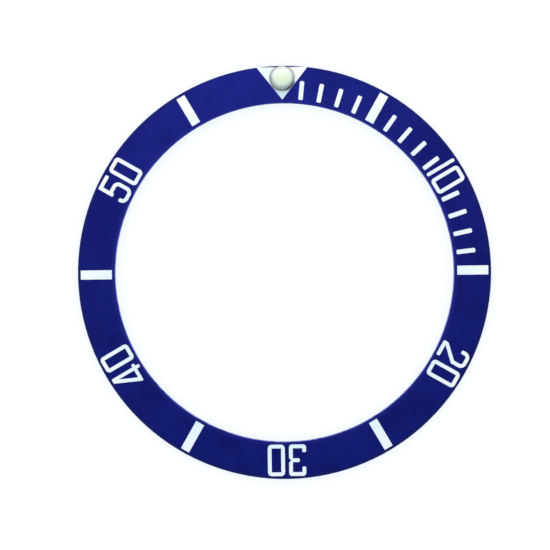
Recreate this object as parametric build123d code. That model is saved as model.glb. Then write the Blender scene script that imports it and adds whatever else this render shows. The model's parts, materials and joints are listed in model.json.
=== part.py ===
from build123d import *
from math import cos, pi, radians, sin, tan
import os

# Insert of a rotating dive-watch bezel, lying on its back with its scale facing up.
# A thin aluminium ring has a conical face that falls away towards its rim. The face is engraved
# with a sixty-minute scale, and each mark is a white inlay seated in its own pocket. At zero, a
# luminous pearl stands in a seat in the triangle: a turned metal cup whose stem fills a hole
# through the ring, a luminous charge, and a clear domed lens.
# Lengths are in millimetres and angles in degrees. Z is the axis of the ring, +Z is the side
# that faces the wearer, and +Y points to zero on the scale. The ring stands on z = 0.

# Sizes of the ring
outer_diameter = 37.5
band_width = 3.425
face_slope = 13.0
rim_height = 0.75
foot_land_width = 0.35
edge_chamfer = 0.05

# Sizes of the engraving and of what fills it
pocket_depth = 0.12
inlay_recess = 0.02
corner_ease = 0.08
cut_overrun = 0.5

# Margins of the bars and of the one-minute marks
bar_inner_margin = 0.315
bar_outer_margin = 0.26
minute_inner_margin = 0.36

# Sizes of the triangle at zero
triangle_half_angle = 38.0
triangle_inner_margin = 0.33
triangle_outer_margin = 0.12

# Sizes of the figures
digit_stroke = 0.355
digit_thin_stroke = 0.325
digit_corner = 0.36
digit_inner_bevel = 0.13
digit_inner_margin = 0.26
digit_outer_margin = 0.28
two_corner = 0.58
two_foot_inset = 0.08
three_corner = 0.28
three_notch = 0.2
four_overhang = 0.25
five_corner = 0.58
five_stem_inset = 0.08
five_stem_tail = 0.165
five_hook_rise = 0.185

# Heights of the features of the figures, as shares of a figure's height
two_hook_share = 0.67
two_wall_share = 0.6
two_elbow_share = 0.55
two_heel_share = 0.16
three_low_hook_share = 0.25
three_high_hook_share = 0.7
four_bar_share = 0.12
four_apex_share = 0.79
five_bowl_share = 0.65

# Widths of the features of the figures, as shares of a figure's width
three_bar_share = 0.37
four_window_share = 0.3
four_apex_left_share = 0.69
four_right_share = 0.965

# A corner is sharp where the outline holds less than this share of a small circle about it
sharp_corner_share = 0.3

# Share of the band's width
minute_length_share = 0.505

# Widths of the marks, as shares of the arc that one minute spans along the rim
bar_width_share = 0.426
minute_width_share = 0.21
digit_width_share = 0.795
digit_gap_share = 0.184

# Sizes of the pearl. Its head is as wide as its margins to the rim and the triangle's sides allow.
pearl_edge_margin = 0.04
pearl_side_margin = 0.107
pearl_seat_depth = 0.14
pearl_seat_clearance = 0.02
pearl_breakout_width = 0.8
pearl_stem_diameter = 1.3
pearl_stem_clearance = 0.01
pearl_stem_setback = 0.04
pearl_cup_wall = 0.06
pearl_cup_floor = 0.12
pearl_cup_rise = 0.15
pearl_cup_ease = 0.03
lume_thickness = 0.12
lens_edge_rise = 0.03
lens_crown = 0.5

# The scale, in minutes: numerals every ten, bars halfway between, and every minute up to fifteen
minutes_per_turn = 60
numeral_minutes = range(10, minutes_per_turn, 10)
bar_minutes = range(5, minutes_per_turn, 10)
single_minutes = [minute for minute in range(1, 15) if minute % 5]

outer_radius = outer_diameter / 2
inner_radius = outer_radius - band_width
minute_arc = pi * outer_diameter / minutes_per_turn
bar_width = bar_width_share * minute_arc
minute_width = minute_width_share * minute_arc
digit_width = digit_width_share * minute_arc
digit_gap = digit_gap_share * minute_arc
slope_rise = tan(radians(face_slope))
plate_thickness = rim_height + foot_land_width * slope_rise
digit_base_radius = inner_radius + digit_inner_margin
digit_height = outer_radius - digit_outer_margin - digit_base_radius
triangle_point = inner_radius + triangle_inner_margin
pearl_reach = (outer_radius - pearl_edge_margin - triangle_point) * sin(radians(triangle_half_angle))
pearl_head_radius = (pearl_reach - pearl_side_margin - pearl_seat_clearance) / (
    1 + cos(radians(face_slope)) * sin(radians(triangle_half_angle))
)


def face_height(radius):
    """Height of the conical face at a distance from the axis."""
    return rim_height + (outer_radius - radius) * slope_rise


def ring_blank():
    """The ring before engraving: a sloping plate, faced off flat where it stands."""
    under_height = face_height(inner_radius) - plate_thickness
    land_radius = outer_radius - foot_land_width
    foot_corner = (outer_radius, 0)
    brow_corner = (outer_radius, rim_height)
    crest_corner = (inner_radius, face_height(inner_radius))
    throat_corner = (inner_radius, under_height)
    land_corner = (land_radius, 0)
    outline = Polyline(foot_corner, brow_corner, crest_corner, throat_corner, land_corner, close=True)
    section = make_face(outline)
    sharp = [v for v in section.vertices() if v.X > land_radius or v.X < inner_radius + edge_chamfer]
    return revolve(Plane.XZ * chamfer(sharp, edge_chamfer), Axis.Z)


def face_layer(top_depth, bottom_depth):
    """The layer between two depths under the conical face, a little wider than the ring."""
    outside = outer_radius + cut_overrun
    inside = inner_radius - cut_overrun
    corners = [
        (outside, face_height(outside) - bottom_depth),
        (outside, face_height(outside) - top_depth),
        (inside, face_height(inside) - top_depth),
        (inside, face_height(inside) - bottom_depth),
    ]
    return revolve(Plane.XZ * make_face(Polyline(*corners, close=True)), Axis.Z)


def block(left, low, right, high):
    """A flat rectangle given by its sides."""
    return Pos((left + right) / 2, (low + high) / 2) * Rectangle(right - left, high - low)


def eased(outline):
    """An outline without holes, its sharp outward corners cut off as the cutter leaves them."""
    probe = Circle(corner_ease / 2)
    sharp = []
    for corner in outline.vertices():
        inside = outline & (Pos(corner.X, corner.Y) * probe)
        if inside.area < sharp_corner_share * probe.area:
            sharp.append(corner)
    return chamfer(sharp, corner_ease)


def figure_ring(width, height, corner, inner_corner=0):
    """A figure's closed outline, one stroke wide: rounded outside, and square or bevelled inside."""
    outside = RectangleRounded(width, height, corner)
    inside = Rectangle(width - 2 * digit_stroke, height - 2 * digit_stroke)
    if inner_corner:
        inside = chamfer(inside.vertices(), inner_corner)
    return Pos(width / 2, height / 2) * (outside - inside)


def figure_zero():
    return figure_ring(digit_width, digit_height, digit_corner)


def figure_one():
    return eased(block(0, 0, digit_thin_stroke, digit_height))


def figure_two():
    """A round-shouldered arch, a leaning stroke down to the heel, and a flat foot."""
    wall = two_wall_share * digit_height
    elbow = two_elbow_share * digit_height
    heel = two_heel_share * digit_height
    inner_edge = digit_width - digit_stroke
    arch = figure_ring(digit_width, digit_height, two_corner, digit_inner_bevel)
    arch -= block(0, 0, digit_width / 2, two_hook_share * digit_height)
    arch -= block(digit_width / 2, 0, digit_width, wall)
    leaning = make_face(
        Polyline(
            (inner_edge, wall),
            (digit_width, wall),
            (digit_width, elbow),
            (digit_stroke, digit_stroke),
            (0, digit_stroke),
            (0, heel),
            close=True,
        )
    )
    return eased(arch + leaning + block(0, 0, digit_width - two_foot_inset, digit_stroke))


def figure_three():
    """The closed outline opened on its left, with a middle bar and a notch behind it."""
    low_hook = three_low_hook_share * digit_height
    high_hook = three_high_hook_share * digit_height
    opening = block(0, low_hook, digit_stroke, high_hook)
    middle = digit_height / 2
    bar_left = three_bar_share * digit_width
    bar = block(bar_left, middle - digit_stroke / 2, digit_width - digit_stroke, middle + digit_stroke / 2)
    notch = make_face(
        Polyline(
            (digit_width, middle + three_notch),
            (digit_width - three_notch, middle),
            (digit_width, middle - three_notch),
            close=True,
        )
    )
    return eased(figure_ring(digit_width, digit_height, three_corner) - opening + bar - notch)


def figure_four():
    """An upright, a crossbar that passes it, and a sloping stroke, drawn about their window."""
    low = four_bar_share * digit_height
    high = low + digit_thin_stroke
    upright_right = four_right_share * digit_width
    upright_left = upright_right - digit_thin_stroke
    outline = make_face(
        Polyline(
            (0, low),
            (0, low + digit_thin_stroke / 2),
            (four_apex_left_share * digit_width, digit_height),
            (upright_right, digit_height),
            (upright_right, low),
            close=True,
        )
    )
    window = make_face(
        Polyline(
            (four_window_share * digit_width, high),
            (upright_left, high),
            (upright_left, four_apex_share * digit_height),
            close=True,
        )
    )
    foot = block(upright_left, 0, upright_right, low)
    crossbar_end = block(upright_right, low, upright_right + four_overhang, high)
    return eased(outline + foot + crossbar_end) - window


def figure_five():
    """A round bowl opened on its left, hung from an upright under a flat top bar."""
    bowl_top = five_bowl_share * digit_height
    bowl = figure_ring(digit_width, bowl_top, five_corner, digit_inner_bevel)
    stem_right = five_stem_inset + digit_stroke
    bowl -= block(0, five_corner + five_hook_rise, stem_right, digit_height)
    stem = block(five_stem_inset, bowl_top - digit_stroke - five_stem_tail, stem_right, digit_height)
    top_bar = block(five_stem_inset, digit_height - digit_stroke, digit_width, digit_height)
    return eased(bowl + stem + top_bar)


figures = {0: figure_zero, 1: figure_one, 2: figure_two, 3: figure_three, 4: figure_four, 5: figure_five}


def at_minute(minute, outline):
    """An outline drawn at zero, turned clockwise to its minute."""
    return Rot(0, 0, -360 * minute / minutes_per_turn) * outline


def bar_outline(minute):
    low = inner_radius + bar_inner_margin
    high = outer_radius - bar_outer_margin
    return at_minute(minute, block(-bar_width / 2, low, bar_width / 2, high))


def minute_outline(minute):
    low = inner_radius + minute_inner_margin
    high = low + minute_length_share * band_width
    return at_minute(minute, eased(block(-minute_width / 2, low, minute_width / 2, high)))


def triangle_outline():
    """The triangle at zero, whose point is towards the bore."""
    base = outer_radius - triangle_outer_margin
    half_width = (base - triangle_point) * tan(radians(triangle_half_angle))
    return make_face(Polyline((0, triangle_point), (half_width, base), (-half_width, base), close=True))


def numeral_outlines(minute):
    """The two figures of a numeral, side by side about its place on the scale."""
    pair = [figures[int(digit)]() for digit in str(minute)]
    widths = [figure.bounding_box().size.X for figure in pair]
    left = -(sum(widths) + digit_gap) / 2
    placed = []
    for figure, width in zip(pair, widths):
        shift = Pos(left - figure.bounding_box().min.X, digit_base_radius)
        placed.append(at_minute(minute, shift * figure))
        left += width + digit_gap
    return placed


def pearl_plane():
    """The pearl's own frame: on the face at zero, square to it, with Y down the slope."""
    radius = outer_radius - pearl_edge_margin - pearl_head_radius * cos(radians(face_slope))
    normal = (0, sin(radians(face_slope)), cos(radians(face_slope)))
    return Plane(origin=(0, radius, face_height(radius)), x_dir=(1, 0, 0), z_dir=normal)


def upright_cylinder(radius, low, high):
    """A cylinder about the pearl's axis between two heights above the face."""
    return Pos(0, 0, (low + high) / 2) * Cylinder(radius, high - low)


def pearl_seat_cutter():
    """The seat of the pearl's head, with a slot where its thin edge would be left at the rim."""
    radius = pearl_head_radius + pearl_seat_clearance
    height = pearl_seat_depth + cut_overrun
    slot = Pos(0, radius, height / 2 - pearl_seat_depth) * Box(pearl_breakout_width, 2 * radius, height)
    return pearl_plane() * (upright_cylinder(radius, -pearl_seat_depth, cut_overrun) + slot)


def pearl_hole_cutter():
    radius = pearl_stem_diameter / 2 + pearl_stem_clearance
    return pearl_plane() * upright_cylinder(radius, -plate_thickness - cut_overrun, cut_overrun)


pearl_cavity_radius = pearl_head_radius - pearl_cup_wall
pearl_cavity_floor = pearl_cup_floor - pearl_seat_depth
lens_base = pearl_cavity_floor + lume_thickness


def pearl_cup():
    """The turned cup: a walled head on the seat, and a stem that fills the hole."""
    stem_end = pearl_stem_setback - plate_thickness * cos(radians(face_slope))
    head = upright_cylinder(pearl_head_radius, -pearl_seat_depth, pearl_cup_rise)
    head = chamfer(head.edges().group_by(Axis.Z)[-1], pearl_cup_ease)
    stem = upright_cylinder(pearl_stem_diameter / 2, stem_end, -pearl_seat_depth)
    stem = chamfer(stem.edges().group_by(Axis.Z)[0], edge_chamfer)
    cavity = upright_cylinder(pearl_cavity_radius, pearl_cavity_floor, pearl_cup_rise + cut_overrun)
    return pearl_plane() * (head + stem - cavity)


def pearl_lume():
    return pearl_plane() * upright_cylinder(pearl_cavity_radius, pearl_cavity_floor, lens_base)


def pearl_lens():
    """The clear lens: a disc in the cup that rises to a shallow dome."""
    edge = pearl_cup_rise + lens_edge_rise
    crown = edge + lens_crown
    dome_radius = (pearl_cavity_radius**2 + lens_crown**2) / (2 * lens_crown)
    dome = Pos(0, 0, crown - dome_radius) * Sphere(dome_radius)
    return pearl_plane() * (upright_cylinder(pearl_cavity_radius, lens_base, crown) & dome)


def build():
    """Every piece of the insert, by its name."""
    marks = {"triangle_inlay": triangle_outline()}
    for minute in bar_minutes:
        marks[f"bar_inlay_{minute:02d}"] = bar_outline(minute)
    for minute in single_minutes:
        marks[f"minute_inlay_{minute:02d}"] = minute_outline(minute)
    for minute in numeral_minutes:
        tens, units = numeral_outlines(minute)
        marks[f"numeral_{minute}_tens_inlay"] = tens
        marks[f"numeral_{minute}_units_inlay"] = units

    prism_height = face_height(inner_radius) + cut_overrun
    prisms = {name: extrude(outline, prism_height) for name, outline in marks.items()}
    pocket_layer = face_layer(-cut_overrun, pocket_depth)
    blank = ring_blank()
    inlay_layer = face_layer(inlay_recess, pocket_depth) & blank
    seat = pearl_seat_cutter()

    ring = blank - [prism & pocket_layer for prism in prisms.values()]
    ring -= [seat, pearl_hole_cutter()]

    pieces = {"insert_ring": ring}
    for name, prism in prisms.items():
        pieces[name] = prism & inlay_layer
    pieces["triangle_inlay"] -= seat
    pieces["pearl_cup"] = pearl_cup()
    pieces["pearl_lume"] = pearl_lume()
    pieces["pearl_lens"] = pearl_lens()
    return pieces


os.makedirs("parts", exist_ok=True)
for name, piece in build().items():
    export_step(piece, f"parts/{name}.step")
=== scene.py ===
import json
from math import cos, radians, sin, tan

import bpy
import numpy as np
from mathutils import Matrix, Vector


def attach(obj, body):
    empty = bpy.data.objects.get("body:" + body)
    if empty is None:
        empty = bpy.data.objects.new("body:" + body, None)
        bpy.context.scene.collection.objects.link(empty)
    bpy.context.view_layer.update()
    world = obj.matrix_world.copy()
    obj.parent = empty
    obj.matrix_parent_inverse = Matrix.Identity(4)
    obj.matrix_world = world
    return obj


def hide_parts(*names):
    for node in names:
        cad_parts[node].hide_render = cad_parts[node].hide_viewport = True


# Insert of a rotating dive-watch bezel, lying with its scale up on a white table and seen from
# straight above. Lengths are in metres, but the materials measure their patterns in millimetres.

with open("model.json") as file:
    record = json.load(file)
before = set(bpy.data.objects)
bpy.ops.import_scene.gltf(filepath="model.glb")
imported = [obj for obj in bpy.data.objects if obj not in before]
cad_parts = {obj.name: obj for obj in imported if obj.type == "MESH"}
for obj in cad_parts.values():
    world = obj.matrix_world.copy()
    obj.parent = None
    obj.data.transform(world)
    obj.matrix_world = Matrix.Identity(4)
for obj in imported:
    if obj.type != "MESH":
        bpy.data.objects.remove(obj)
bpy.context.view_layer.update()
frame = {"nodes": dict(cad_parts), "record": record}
nodes = frame["nodes"]
mounts = {mount["name"]: mount for mount in frame["record"]["mounts"]}

millimetre = 0.001
outer_radius = mounts["rim"]["dims"]["r_mm"] * millimetre
inner_radius = mounts["bore"]["dims"]["r_mm"] * millimetre

# Sizes of the ring that the pearl and the materials follow
face_slope = radians(13)
rim_height = 0.75 * millimetre
foot_land_width = 0.35 * millimetre
edge_chamfer = 0.05 * millimetre
plate_thickness = rim_height + foot_land_width * tan(face_slope)

# Sizes of the pearl
pearl_head_radius = 1.0962 * millimetre
pearl_edge_margin = 0.04 * millimetre
pearl_seat_depth = 0.14 * millimetre
pearl_stem_radius = 0.65 * millimetre
pearl_stem_setback = 0.04 * millimetre
pearl_cup_wall = 0.06 * millimetre
pearl_cup_floor = 0.12 * millimetre
pearl_cup_rise = 0.15 * millimetre
pearl_cavity_radius = pearl_head_radius - pearl_cup_wall
pearl_cavity_floor = pearl_cup_floor - pearl_seat_depth
lume_thickness = 0.12 * millimetre
lens_edge_rise = 0.03 * millimetre
lens_crown = 0.5 * millimetre
fitting_gap = 0.004 * millimetre
cup_edge_rounding = 0.015 * millimetre
lume_edge_rounding = 0.02 * millimetre
lens_edge_rounding = 0.01 * millimetre

# Fineness of the pearl's meshes
turn_steps = 192
edge_steps = 5
dome_steps = 28

# The photograph's frame: its side and the place of the ring in it, in pixels
picture_side = 550
ring_radius_in_picture = 206.73
ring_right_of_middle = 9.55
ring_above_middle = 2.55

# The camera, with its sensor and lens in millimetres
ring_turn = radians(0.75)
camera_distance = 0.5
sensor_width = 36

# The light
studio_direction = (-0.12, 1, 0)
studio_near_colour = (0.50, 0.775, 0.90)
studio_far_colour = (1.46, 1.31, 1.17)
backdrop_colour = (1, 1, 1)
sheen_strength = 0.66
sheen_size = 0.34
sheen_colour = (1.0, 0.97, 0.93)
sheen_place = (-0.04, 0.35, 0.46)

# The table
floor_side = 1.2
floor_drop = 0.002 * millimetre
floor_colour = (0.20, 0.12, 0.05)
floor_glow = (0.854, 0.916, 0.968)
floor_shade_inside = (0.59, 0.786, 0.953)
floor_shade_outside = (0.70, 0.823, 0.948)
floor_shade_reach = 1.2 * millimetre


def face_height(radius):
    """Height of the conical face: the rim's height plus the slope's rise from the rim inwards."""
    return rim_height + (outer_radius - radius) * tan(face_slope)


# Meshes


def mesh_piece(name, points, faces):
    """A smooth object from an array of points and lists of faces, riding on the ring."""
    mesh = bpy.data.meshes.new(name)
    mesh.from_pydata(points.tolist(), [], faces)
    mesh.polygons.foreach_set("use_smooth", np.ones(len(mesh.polygons), bool))
    mesh.update()
    piece = bpy.data.objects.new(name, mesh)
    bpy.context.scene.collection.objects.link(piece)
    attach(piece, "root")
    return piece


def rounded_profile(corners, rounding):
    """A profile through its corners, each inner one rounded, while the first and the last stay.

    At a corner c between the directions u and v to its neighbours, the corner gives way to
    c + rounding * ((1 - t)^2 * u + t^2 * v) for t from 0 to 1, which leaves each side smoothly.
    """
    corners = np.array(corners, float)
    back = corners[:-2] - corners[1:-1]
    ahead = corners[2:] - corners[1:-1]
    back /= np.linalg.norm(back, axis=1, keepdims=True)
    ahead /= np.linalg.norm(ahead, axis=1, keepdims=True)
    step = np.linspace(0, 1, edge_steps)[None, :, None]
    bend = (1 - step) ** 2 * back[:, None] + step**2 * ahead[:, None]
    arcs = corners[1:-1, None] + rounding * bend
    return np.vstack([corners[:1], arcs.reshape(-1, 2), corners[-1:]])


def turned(name, profile, place):
    """A profile of (radius, height), starting and ending on the axis, turned about it.

    Point (i, j) is (r_j cos a_i, r_j sin a_i, h_j) with a_i = 2 pi i / turn_steps, set in place.
    """
    radius, height = profile[1:-1].T
    angle = np.linspace(0, 2 * np.pi, turn_steps, endpoint=False)[:, None]
    grid = np.stack([radius * np.cos(angle), radius * np.sin(angle), height + 0 * angle], axis=-1)
    poles = np.array([[0, 0, profile[0][1]], [0, 0, profile[-1][1]]])
    points = np.vstack([grid.reshape(-1, 3), poles])
    matrix = np.array(place)
    points = points @ matrix[:3, :3].T + matrix[:3, 3]

    rings = len(radius)
    index = np.arange(turn_steps * rings).reshape(turn_steps, rings)
    following = np.roll(index, -1, axis=0)
    sides = np.stack([index[:, :-1], following[:, :-1], following[:, 1:], index[:, 1:]], axis=-1)
    start = np.stack([following[:, 0], index[:, 0], np.full(turn_steps, index.size)], axis=-1)
    end = np.stack([index[:, -1], following[:, -1], np.full(turn_steps, index.size + 1)], axis=-1)
    faces = sides.reshape(-1, 4).tolist() + start.tolist() + end.tolist()
    return mesh_piece(name, points, faces)


def pearl_place():
    """The pearl's own frame: on the face at zero and square to it, its head a margin from the rim."""
    radius = outer_radius - pearl_edge_margin - pearl_head_radius * cos(face_slope)
    return Matrix.Translation((0, radius, face_height(radius))) @ Matrix.Rotation(-face_slope, 4, "X")


def cup_profile():
    """From the end of the stem up its side, out under the head, over its wall and into the cavity."""
    stem_end = pearl_stem_setback - plate_thickness * cos(face_slope)
    corners = [
        (0, stem_end),
        (pearl_stem_radius - edge_chamfer, stem_end),
        (pearl_stem_radius, stem_end + edge_chamfer),
        (pearl_stem_radius, -pearl_seat_depth),
        (pearl_head_radius, -pearl_seat_depth),
        (pearl_head_radius, pearl_cup_rise),
        (pearl_cavity_radius, pearl_cup_rise),
        (pearl_cavity_radius, pearl_cavity_floor),
        (0, pearl_cavity_floor),
    ]
    return rounded_profile(corners, cup_edge_rounding)


def lume_profile():
    """A flat disc, a fitting gap clear of the cup's floor and wall and of the lens above it."""
    radius = pearl_cavity_radius - fitting_gap
    low = pearl_cavity_floor + fitting_gap
    high = pearl_cavity_floor + lume_thickness - fitting_gap
    return rounded_profile([(0, low), (radius, low), (radius, high), (0, high)], lume_edge_rounding)


def lens_profile():
    """A flat base and a short side, then a cap of a sphere: height = top - R + sqrt(R^2 - r^2)."""
    radius = pearl_cavity_radius - fitting_gap
    base = pearl_cavity_floor + lume_thickness
    shoulder = pearl_cup_rise + lens_edge_rise
    side = [(0, base), (radius, base), (radius, shoulder - lens_edge_rounding)]
    dome_radius = (radius**2 + lens_crown**2) / (2 * lens_crown)
    reach = (radius - lens_edge_rounding) * np.sin(np.linspace(np.pi / 2, 0, dome_steps))
    height = shoulder + lens_crown - dome_radius + np.sqrt(dome_radius**2 - reach**2)
    cap = np.stack([reach, height], axis=-1)
    return np.vstack([rounded_profile(side, lens_edge_rounding), cap])


# Materials

# The sizes that they follow, in millimetres
outer = outer_radius / millimetre
inner = inner_radius / millimetre
plate = plate_thickness / millimetre
chamfer = edge_chamfer / millimetre
head = pearl_head_radius / millimetre

# Directions from the pearl's middle: 0 degrees is to the bore and 90 to the one-minute mark
to_bore = 0
# direction of the painted crevice shade
to_crevice_shade = 45
to_film = -90

# Sockets of a Mix node that mixes colours
mix_share = 0
mix_first = 6
mix_second = 7
mix_result = 2


class Value:
    """A number that varies over a surface. An expression on values adds Math nodes."""

    def __init__(self, wiring, socket):
        self.wiring = wiring
        self.socket = socket

    def __add__(self, other):
        return self.wiring.math("ADD", self, other)

    def __sub__(self, other):
        return self.wiring.math("SUBTRACT", self, other)

    def __rsub__(self, other):
        return self.wiring.math("SUBTRACT", other, self)

    def __mul__(self, other):
        return self.wiring.math("MULTIPLY", self, other)

    def __truediv__(self, other):
        return self.wiring.math("DIVIDE", self, other)

    __radd__ = __add__
    __rmul__ = __mul__


class Wiring:
    """A node tree in the making."""

    def __init__(self, tree):
        self.tree = tree
        self.tree.nodes.clear()

    def node(self, kind, settings=None, sockets=None):
        """A node of a kind, with its settings made first and then its sockets fed."""
        made = self.tree.nodes.new(kind)
        for name, setting in (settings or {}).items():
            setattr(made, name, setting)
        for name, source in (sockets or {}).items():
            self.feed(made.inputs[name], source)
        return made

    def feed(self, socket, source):
        """A link from a value or another socket, or else a plain setting. A plain colour is opaque."""
        source = source.socket if isinstance(source, Value) else source
        if isinstance(source, bpy.types.NodeSocket):
            self.tree.links.new(source, socket)
        elif socket.type == "RGBA":
            socket.default_value = (*source, 1)
        else:
            socket.default_value = source

    def math(self, operation, *terms):
        """The number that a Math node makes of its terms."""
        made = self.node("ShaderNodeMath", {"operation": operation}, dict(enumerate(terms)))
        return Value(self, made.outputs[0])

    def vector(self, operation, *terms):
        """The socket of a vector, or a value where the operation gives a number."""
        made = self.node("ShaderNodeVectorMath", {"operation": operation}, dict(enumerate(terms)))
        if operation in ("DOT_PRODUCT", "LENGTH"):
            return Value(self, made.outputs["Value"])
        return made.outputs["Vector"]

    def scaled(self, vector, factor):
        """A vector times a number."""
        sockets = {"Vector": vector, "Scale": factor}
        return self.node("ShaderNodeVectorMath", {"operation": "SCALE"}, sockets).outputs["Vector"]

    def parts(self, vector):
        """The x, y and z of a vector."""
        made = self.node("ShaderNodeSeparateXYZ", {}, {"Vector": vector})
        return [Value(self, made.outputs[axis]) for axis in "XYZ"]

    def distance(self, x, y):
        """The square root of x^2 + y^2."""
        return self.math("SQRT", x * x + y * y)

    def step(self, value, low, high):
        """0 below low and 1 above high, with a smooth rise between."""
        sockets = {"Value": value, "From Min": low, "From Max": high}
        made = self.node("ShaderNodeMapRange", {"interpolation_type": "SMOOTHSTEP"}, sockets)
        return Value(self, made.outputs["Result"])

    def near(self, distance, full, gone):
        """1 up to the distance where it is full and 0 from where it is gone, with a smooth fall."""
        return 1 - self.step(distance, full, gone)

    def mixed(self, share, first, second):
        """The first colour, giving way to the second by a share."""
        sockets = {mix_share: share, mix_first: first, mix_second: second}
        return self.node("ShaderNodeMix", {"data_type": "RGBA"}, sockets).outputs[mix_result]

    def noise(self, place, per_millimetre, detail=2):
        """Soft noise from 0 to 1, with so many swells in a millimetre and finer ones on them."""
        sockets = {"Vector": place, "Scale": per_millimetre, "Detail": detail}
        return Value(self, self.node("ShaderNodeTexNoise", {}, sockets).outputs["Fac"])


class Finish(Wiring):
    """A material in the making, with one Principled shader."""

    def __init__(self, name):
        self.material = bpy.data.materials.new(name)
        self.material.use_nodes = True
        super().__init__(self.material.node_tree)
        self.shader = self.node("ShaderNodeBsdfPrincipled")
        self.output = self.node("ShaderNodeOutputMaterial", {}, {"Surface": self.shader.outputs["BSDF"]})

    def place(self, centre=(0, 0, 0)):
        """Object coordinates in millimetres, from a centre given in metres."""
        coordinates = self.node("ShaderNodeTexCoord").outputs["Object"]
        return self.scaled(self.vector("SUBTRACT", coordinates, tuple(centre)), 1 / millimetre)

    def bumped(self, relief, normal=None):
        """The normal of a relief in millimetres, over another normal if one is given."""
        sockets = {"Height": relief, "Distance": millimetre}
        if normal is not None:
            sockets["Normal"] = normal
        return self.node("ShaderNodeBump", {}, sockets).outputs["Normal"]

    def set(self, **values):
        """The shader's sockets by name, with underscores for spaces."""
        for name, value in values.items():
            self.feed(self.shader.inputs[name.replace("_", " ")], value)


def turned_normal(finish, place):
    """The normal of a turned face, without the flats that its mesh has.

    A mesh of a turned face leans to and fro about the true normal along the turn. Where that lean
    is small, it is taken out: n - (n . t) t, made one long, with t the direction of the turn.
    """
    small_lean = 0.04
    large_lean = 0.08
    normal = finish.node("ShaderNodeNewGeometry").outputs["Normal"]
    along = finish.vector("NORMALIZE", finish.vector("CROSS_PRODUCT", (0, 0, 1), place))
    lean = finish.vector("DOT_PRODUCT", normal, along)
    taken_out = lean * finish.near(finish.math("ABSOLUTE", lean), small_lean, large_lean)
    flattened = finish.vector("SUBTRACT", normal, finish.scaled(along, taken_out))
    return finish.vector("NORMALIZE", flattened)


def blue_anodising():
    """Satin blue anodising over aluminium, worn and with painted glints along its edges, with a bare
    turned underside.

    A band at the bore is paler and one at the rim is darker with painted shade. The bands, the wear
    and the painted glints weaken towards zero, where the cosine y / radius is one and the light comes
    from beyond. Tones are the noise between which one colour gives way to another. Each width, depth
    or height is a pair: how far it is full and from where it is gone.
    A depth is measured straight down from the cone of the face.
    """
    blues = (0.0060, 0.0097, 0.130), (0.0101, 0.0148, 0.184)
    bore_band_blue = (0.0170, 0.0195, 0.205)
    rim_band_shade_blue = (0.0130, 0.0135, 0.088)
    worn_and_glinting_rim_blues = (0.012, 0.013, 0.15), (0.06, 0.07, 0.38)
    worn_and_glinting_bore_blues = (0.04, 0.05, 0.28), (0.22, 0.23, 0.70)
    bare_metals = (0.36, 0.37, 0.39), (0.60, 0.61, 0.63)
    blue_tones = (0.6, 1.4)
    wear_and_glint_tones = (0.3, 0.55)
    zero_cosines = (0.3, 1.0)
    share_lost_at_zero = 0.8
    bore_band_widths = (0, 0.55)
    rim_band_widths = (0.12, 0.28)
    corner_widths = (0.9 * chamfer, 1.2 * chamfer)
    corner_depths = (1.2 * chamfer, 2.4 * chamfer)
    bare_foot_heights = (0.6 * chamfer, 0.9 * chamfer)
    bare_underside_heights = (0.8 * chamfer, 1.1 * chamfer)
    grain_height = 0.0012
    lathe_height = 0.002
    satin_roughness = 0.46
    grain_roughness = 0.1
    turned_smoothness = 0.16

    finish = Finish("blue_anodising")
    place = finish.place()
    x, y, z = finish.parts(place)
    radius = finish.distance(x, y)
    from_bore = radius - inner
    from_rim = outer - radius
    depth = face_height(0) / millimetre - radius * tan(face_slope) - z

    cloud = finish.noise(place, per_millimetre=0.35)
    grain = finish.noise(place, per_millimetre=5, detail=4)
    blue = finish.mixed(finish.step(cloud + grain, *blue_tones), *blues)
    # weaker near zero: the painted shade and glints stand for light from beyond zero
    kept = 1 - finish.step(y / radius, *zero_cosines) * share_lost_at_zero
    blue = finish.mixed(kept * finish.near(from_bore, *bore_band_widths), blue, bore_band_blue)
    # painted shade: the band at the rim is darker, most where the face is turned from the light
    blue = finish.mixed(kept * finish.near(from_rim, *rim_band_widths), blue, rim_band_shade_blue)

    wear_and_glint = finish.step(finish.noise(place, per_millimetre=1.6, detail=3), *wear_and_glint_tones)
    corner = finish.near(depth, *corner_depths)
    rim_corner = corner * finish.near(from_rim, *corner_widths)
    bore_corner = corner * finish.near(from_bore, *corner_widths)
    # wear with painted glints on the rim's and the bore's corners, weaker near zero
    blue = finish.mixed(kept * rim_corner, blue, finish.mixed(wear_and_glint, *worn_and_glinting_rim_blues))
    blue = finish.mixed(bore_corner, blue, finish.mixed(kept * wear_and_glint, *worn_and_glinting_bore_blues))

    bare_foot = finish.near(z, *bare_foot_heights)
    bare_underside = finish.near(plate - depth, *bare_underside_heights)
    bare = finish.math("MAXIMUM", bare_foot, bare_underside)
    outwards = finish.node("ShaderNodeCombineXYZ", {}, {"X": radius}).outputs["Vector"]
    lathe = finish.noise(outwards, per_millimetre=5, detail=4)
    relief = grain * grain_height + bare * lathe * lathe_height
    finish.set(
        Base_Color=finish.mixed(bare, blue, finish.mixed(lathe, *bare_metals)),
        Metallic=1.0,
        Roughness=satin_roughness + grain * grain_roughness - bare * turned_smoothness,
        Normal=finish.bumped(relief, turned_normal(finish, place)),
    )
    return finish.material


def pearl_side(finish, place, degrees, low, high):
    """Share of one side of the pearl, for a place counted from the pearl's middle.

    It rises from 0 to 1 while the cosine of the place's angle from that side's direction rises from
    low to high. For an angle a, the direction is d = (sin a, -cos a, 0) in the pearl's own frame,
    and the cosine is (place . d) / |place|.
    """
    turn = radians(degrees)
    direction = tuple(pearl_place().to_3x3() @ Vector((sin(turn), -cos(turn), 0)))
    cosine = finish.vector("DOT_PRODUCT", place, direction) / finish.vector("LENGTH", place)
    return finish.step(cosine, low, high)


def crevice_shade(finish, place):
    """Share of painted dark shade on the cup and the seam, between the bore and the one-minute mark."""
    cosines = (0.78, 0.98)
    strength = 0.8
    return pearl_side(finish, place, to_crevice_shade, *cosines) * strength


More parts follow.
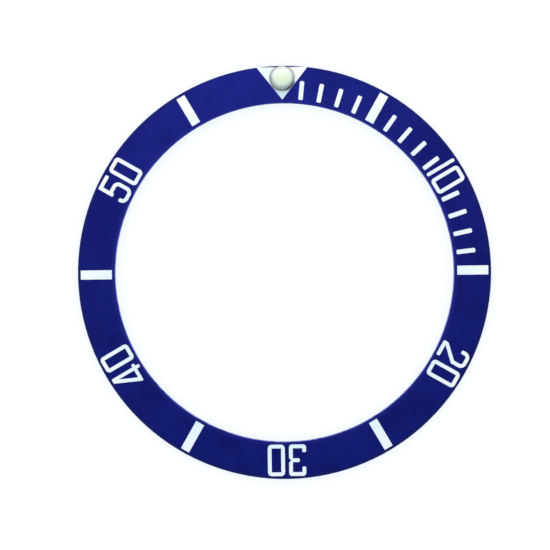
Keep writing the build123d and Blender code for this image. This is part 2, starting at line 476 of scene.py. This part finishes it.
def cement_and_shadow(finish):
    """Cement beside the pearl, with painted shadows, as shares of the white that they cover.

    They are a seam, wider towards the bore as a painted contact shadow, a painted crevice shade on
    it, a painted shadow of the pearl towards the bore, and a film away from the one-minute mark.
    Each width is a pair, counted from the edge of the pearl's head: how far it is full and from
    where it is gone.
    """
    narrow_seam_widths = (0, 0.14)
    contact_shadow_widths = (0.05, 0.3)
    pearl_shadow_widths = (0.2, 1.5)
    film_widths = (0.4, 2.4)
    contact_shadow_cosines = (0.25, 0.75)
    pearl_shadow_cosines = (0.1, 0.7)
    film_cosines = (0.3, 0.9)
    narrow_seam_strength = 0.5
    contact_shadow_strength = 0.9
    pearl_shadow_strength = 0.48

    place = finish.place(pearl_place().translation)
    from_head = finish.vector("LENGTH", place) - head
    narrow = finish.near(from_head, *narrow_seam_widths)
    wide = finish.near(from_head, *contact_shadow_widths)
    # painted shadow of the pearl, falling on the white towards the bore
    pearl_shadow = finish.near(from_head, *pearl_shadow_widths) * pearl_side(finish, place, to_bore, *pearl_shadow_cosines)
    film = finish.near(from_head, *film_widths) * pearl_side(finish, place, to_film, *film_cosines)
    # painted contact shadow of the pearl, on the side towards the bore
    contact_shadow = wide * pearl_side(finish, place, to_bore, *contact_shadow_cosines)
    seam_and_shadow = finish.math("MAXIMUM", narrow * narrow_seam_strength, contact_shadow * contact_shadow_strength)
    return seam_and_shadow, wide * crevice_shade(finish, place), pearl_shadow * pearl_shadow_strength, film


def white_fill():
    """Hard white fill, wiped just below the face: smooth, cooler inwards, with clouds and specks."""
    whites = (0.81, 0.905, 0.978), (0.93, 0.928, 0.984)
    film_white = (0.81, 0.91, 0.985)
    pearl_shadow_blue = (0.24, 0.44, 0.58)
    seam_and_shadow_grey = (0.20, 0.23, 0.24)
    crevice_shade_black = (0.05, 0.06, 0.09)
    speck_grey = (0.70, 0.76, 0.80)
    cloud_reach = 1.5
    middle_cloud = 0.5
    speck_tones = (0.66, 0.8)
    speck_strength = 0.4
    speck_height = 0.004
    base_roughness = 0.3
    speck_roughness = 0.15

    finish = Finish("white_fill")
    place = finish.place()
    x, y = finish.parts(place)[:2]
    cloud = finish.noise(place, per_millimetre=0.9, detail=3)
    specks = finish.noise(place, per_millimetre=9, detail=3)
    clouded_radius = finish.distance(x, y) + (cloud - middle_cloud) * cloud_reach
    # the seam with its painted contact shadow, the painted crevice shade, the pearl's painted shadow and
    # the film
    seam_and_shadow, crevice_shaded, pearl_shadow, film = cement_and_shadow(finish)
    colour = finish.mixed(finish.step(clouded_radius, inner, outer), *whites)
    colour = finish.mixed(film, colour, film_white)
    # painted shadow of the pearl, bluish, on the point of the triangle
    colour = finish.mixed(pearl_shadow, colour, pearl_shadow_blue)
    # seam and painted contact shadow
    colour = finish.mixed(seam_and_shadow, colour, seam_and_shadow_grey)
    # painted crevice shade at the pearl's side towards the bore and the one-minute mark
    colour = finish.mixed(crevice_shaded, colour, crevice_shade_black)
    colour = finish.mixed(finish.step(specks, *speck_tones) * speck_strength, colour, speck_grey)
    finish.set(
        Base_Color=colour,
        Roughness=base_roughness + specks * speck_roughness,
        Normal=finish.bumped(specks * speck_height, turned_normal(finish, place)),
    )
    return finish.material


def polished_cup():
    """The pearl's turned metal cup: rippled, paler towards the bore, with painted dark shade."""
    metals = (0.185, 0.225, 0.215), (0.265, 0.31, 0.305)
    bore_side_metal = (0.37, 0.41, 0.395)
    crevice_shade_black = (0.05, 0.06, 0.08)
    bore_side_cosines = (0.3, 0.9)
    base_roughness = 0.32
    ripple_roughness = 0.12

    finish = Finish("polished_cup")
    place = finish.place(pearl_place().translation)
    ripple = finish.noise(place, per_millimetre=6)
    metal = finish.mixed(ripple, *metals)
    metal = finish.mixed(pearl_side(finish, place, to_bore, *bore_side_cosines), metal, bore_side_metal)
    finish.set(
        # painted crevice shade on the cup
        Base_Color=finish.mixed(crevice_shade(finish, place), metal, crevice_shade_black),
        Metallic=1.0,
        Roughness=base_roughness + ripple * ripple_roughness,
    )
    return finish.material


def luminous_charge():
    """The pearl's matt, granular charge."""
    greens = (0.66, 0.76, 0.50), (0.84, 0.90, 0.68)
    grain_height = 0.01

    finish = Finish("luminous_charge")
    place = finish.place(pearl_place().translation)
    grain = finish.noise(place, per_millimetre=14, detail=3)
    finish.set(
        Base_Color=finish.mixed(grain, *greens),
        Roughness=0.85,
        Normal=finish.bumped(grain * grain_height),
    )
    return finish.material


def milky_lens():
    """The pearl's lens: cream over the charge, paler around it, with a painted grey shade at its edge.

    The cream heart lies a little towards the bore. The painted grey shade stands for the dome's shade
    and the cup's wall seen through it; it reaches further in from the edge on the bore's side, which
    is away from the light, so its circle is drawn about a point shifted towards the rim. The pale
    cream is lighter and whiter towards the rim, in part as painted light, and the grey also changes
    from the bore's side to the rim's, between two places on the line through the pearl's middle.
    """
    heart_cream = (0.775, 0.85, 0.615)
    pale_and_lit_creams = (0.80, 0.86, 0.71), (0.885, 0.96, 0.97)
    limb_shade_greys = (0.39, 0.43, 0.41), (0.31, 0.37, 0.35)
    pale_and_lit_places = (-0.45, 0.65)
    limb_shade_places = (-0.9, -0.3)
    heart_shift = 0.12
    heart_radii = (0.2, 0.7)
    heart_cloud = 0.2
    limb_shade_shift = 0.09
    limb_shade_radii = (0.79, 1.15)
    limb_shade_cloud = 0.06
    base_roughness = 0.16
    cloud_roughness = 0.06
    milk_depth = 0.2 * millimetre

    finish = Finish("milky_lens")
    place = finish.place(pearl_place().translation)
    clockwise, rimwards = pearl_place().to_3x3().col[:2]
    across = finish.vector("DOT_PRODUCT", place, tuple(clockwise))
    along = finish.vector("DOT_PRODUCT", place, tuple(rimwards))
    cloud = finish.noise(place, per_millimetre=3, detail=3)
    from_heart = finish.distance(across, along + heart_shift) + cloud * heart_cloud
    # painted shade at the lens's edge, reaching further in on the side away from the light
    from_limb_shade_middle = finish.distance(across, along - limb_shade_shift) + cloud * limb_shade_cloud
    # pale cream, lighter and whiter towards the rim: in part painted light from beyond zero
    pale_and_lit = finish.mixed(finish.step(along, *pale_and_lit_places), *pale_and_lit_creams)
    cream = finish.mixed(finish.step(from_heart, *heart_radii), heart_cream, pale_and_lit)
    limb_shade_grey = finish.mixed(finish.step(along, *limb_shade_places), *limb_shade_greys)
    finish.set(
        # cream with painted light towards the rim, giving way to the painted edge shade
        Base_Color=finish.mixed(finish.step(from_limb_shade_middle, *limb_shade_radii), cream, limb_shade_grey),
        Roughness=base_roughness + cloud * cloud_roughness,
        Coat_Weight=0.2,
        Coat_Roughness=0.3,
        Subsurface_Weight=0.15,
        Subsurface_Scale=milk_depth,
    )
    return finish.material


def table_top():
    """The floor: its glow and the light on it make white in the open, with a shade by the ring.

    The glow goes from the shade's colour to the open floor's by the share of the surroundings
    within a short reach that is open, and the shade has one colour inside the bore and another
    outside the rim. The glow shows to the camera and in reflections, and lights nothing.
    """
    finish = Finish("table_top")
    finish.set(Base_Color=floor_colour, Roughness=1.0, Specular_IOR_Level=0.0)
    x, y = finish.parts(finish.place())[:2]
    outside = finish.step(finish.distance(x, y), inner, outer)
    shade = finish.mixed(outside, floor_shade_inside, floor_shade_outside)
    surroundings = finish.node("ShaderNodeAmbientOcclusion", {}, {"Distance": floor_shade_reach})
    glow = finish.mixed(surroundings.outputs["AO"], shade, floor_glow)
    rays = finish.node("ShaderNodeLightPath").outputs
    seen = finish.math("MAXIMUM", rays["Is Camera Ray"], rays["Is Glossy Ray"])
    seen = finish.math("MAXIMUM", seen, rays["Is Transmission Ray"])
    glowing = finish.node("ShaderNodeEmission", {}, {"Color": glow, "Strength": seen})
    sockets = {0: finish.shader.outputs["BSDF"], 1: glowing.outputs["Emission"]}
    both = finish.node("ShaderNodeAddShader", {}, sockets)
    finish.feed(finish.output.inputs["Surface"], both.outputs["Shader"])
    return finish.material


def dress(piece, material):
    """A piece in one material alone."""
    piece.data.materials.clear()
    piece.data.materials.append(material)


# The object

blue = blue_anodising()
white = white_fill()
dress(nodes["insert_ring"], blue)
for name, node in nodes.items():
    if name.endswith("_inlay") or "_inlay_" in name:
        dress(node, white)

pearl = pearl_place()
turned_pieces = (
    ("pearl_cup_turned", cup_profile(), "pearl_cup", "pearl_metal", polished_cup()),
    ("pearl_charge_granular", lume_profile(), "pearl_lume", "luminous_charge", luminous_charge()),
    ("pearl_lens_domed", lens_profile(), "pearl_lens", "clear_lens", milky_lens()),
)
for name, profile, node, slot, material in turned_pieces:
    piece = turned(name, profile, pearl)
    dress(piece, material)
    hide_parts(node)
    dress(nodes[node], material)


# The table, the light and the camera


def lay_table():
    """A square floor just under the ring's foot."""
    mesh = bpy.data.meshes.new("table")
    half = floor_side / 2
    corners = [(-half, -half), (half, -half), (half, half), (-half, half)]
    mesh.from_pydata([(x, y, -floor_drop) for x, y in corners], [], [(0, 1, 2, 3)])
    table = bpy.data.objects.new("table", mesh)
    bpy.context.scene.collection.objects.link(table)
    dress(table, table_top())


def light_world():
    """Even light, stronger and warmer from beyond zero, and a white backdrop for the camera.

    The light goes from the near colour to the far one while the cosine of its angle from the
    studio's direction goes from -1 to 1.
    """
    world = bpy.data.worlds.new("studio")
    world.use_nodes = True
    wiring = Wiring(world.node_tree)
    direction = wiring.node("ShaderNodeTexCoord").outputs["Generated"]
    cosine = wiring.vector("DOT_PRODUCT", direction, Vector(studio_direction).normalized())
    share = wiring.node("ShaderNodeMapRange", {}, {"Value": cosine, "From Min": -1}).outputs["Result"]
    colour = wiring.mixed(share, studio_near_colour, studio_far_colour)
    studio = wiring.node("ShaderNodeBackground", {}, {"Color": colour})
    backdrop = wiring.node("ShaderNodeBackground", {}, {"Color": backdrop_colour})
    camera_ray = wiring.node("ShaderNodeLightPath").outputs["Is Camera Ray"]
    sockets = {0: camera_ray, 1: studio.outputs["Background"], 2: backdrop.outputs["Background"]}
    shown = wiring.node("ShaderNodeMixShader", {}, sockets)
    wiring.node("ShaderNodeOutputWorld", {}, {"Surface": shown.outputs["Shader"]})
    bpy.context.scene.world = world


def hang_sheen():
    """A square soft light that faces the middle of the ring and shows in its sheen alone."""
    lamp = bpy.data.lights.new("sheen", "AREA")
    lamp.size = sheen_size
    lamp.energy = sheen_strength
    lamp.color = sheen_colour
    holder = bpy.data.objects.new("sheen", lamp)
    holder.location = sheen_place
    holder.rotation_euler = Vector(sheen_place).to_track_quat("Z", "Y").to_euler()
    holder.visible_diffuse = False
    bpy.context.scene.collection.objects.link(holder)


def place_camera():
    """Straight above, framed and turned so that the ring lies as it does in the photograph."""
    pixel = outer_radius / ring_radius_in_picture
    camera = bpy.data.cameras.new("camera")
    camera.sensor_width = sensor_width
    camera.lens = sensor_width * camera_distance / (picture_side * pixel)
    right = Vector((cos(ring_turn), -sin(ring_turn), 0))
    up = Vector((sin(ring_turn), cos(ring_turn), 0))
    holder = bpy.data.objects.new("camera", camera)
    holder.location = -pixel * (ring_right_of_middle * right + ring_above_middle * up)
    holder.location.z = camera_distance + rim_height
    holder.rotation_euler = (0, 0, -ring_turn)
    bpy.context.scene.collection.objects.link(holder)
    bpy.context.scene.camera = holder


lay_table()
light_world()
hang_sheen()
place_camera()
bpy.context.scene.view_settings.view_transform = "Standard"

bpy.context.view_layer.update()
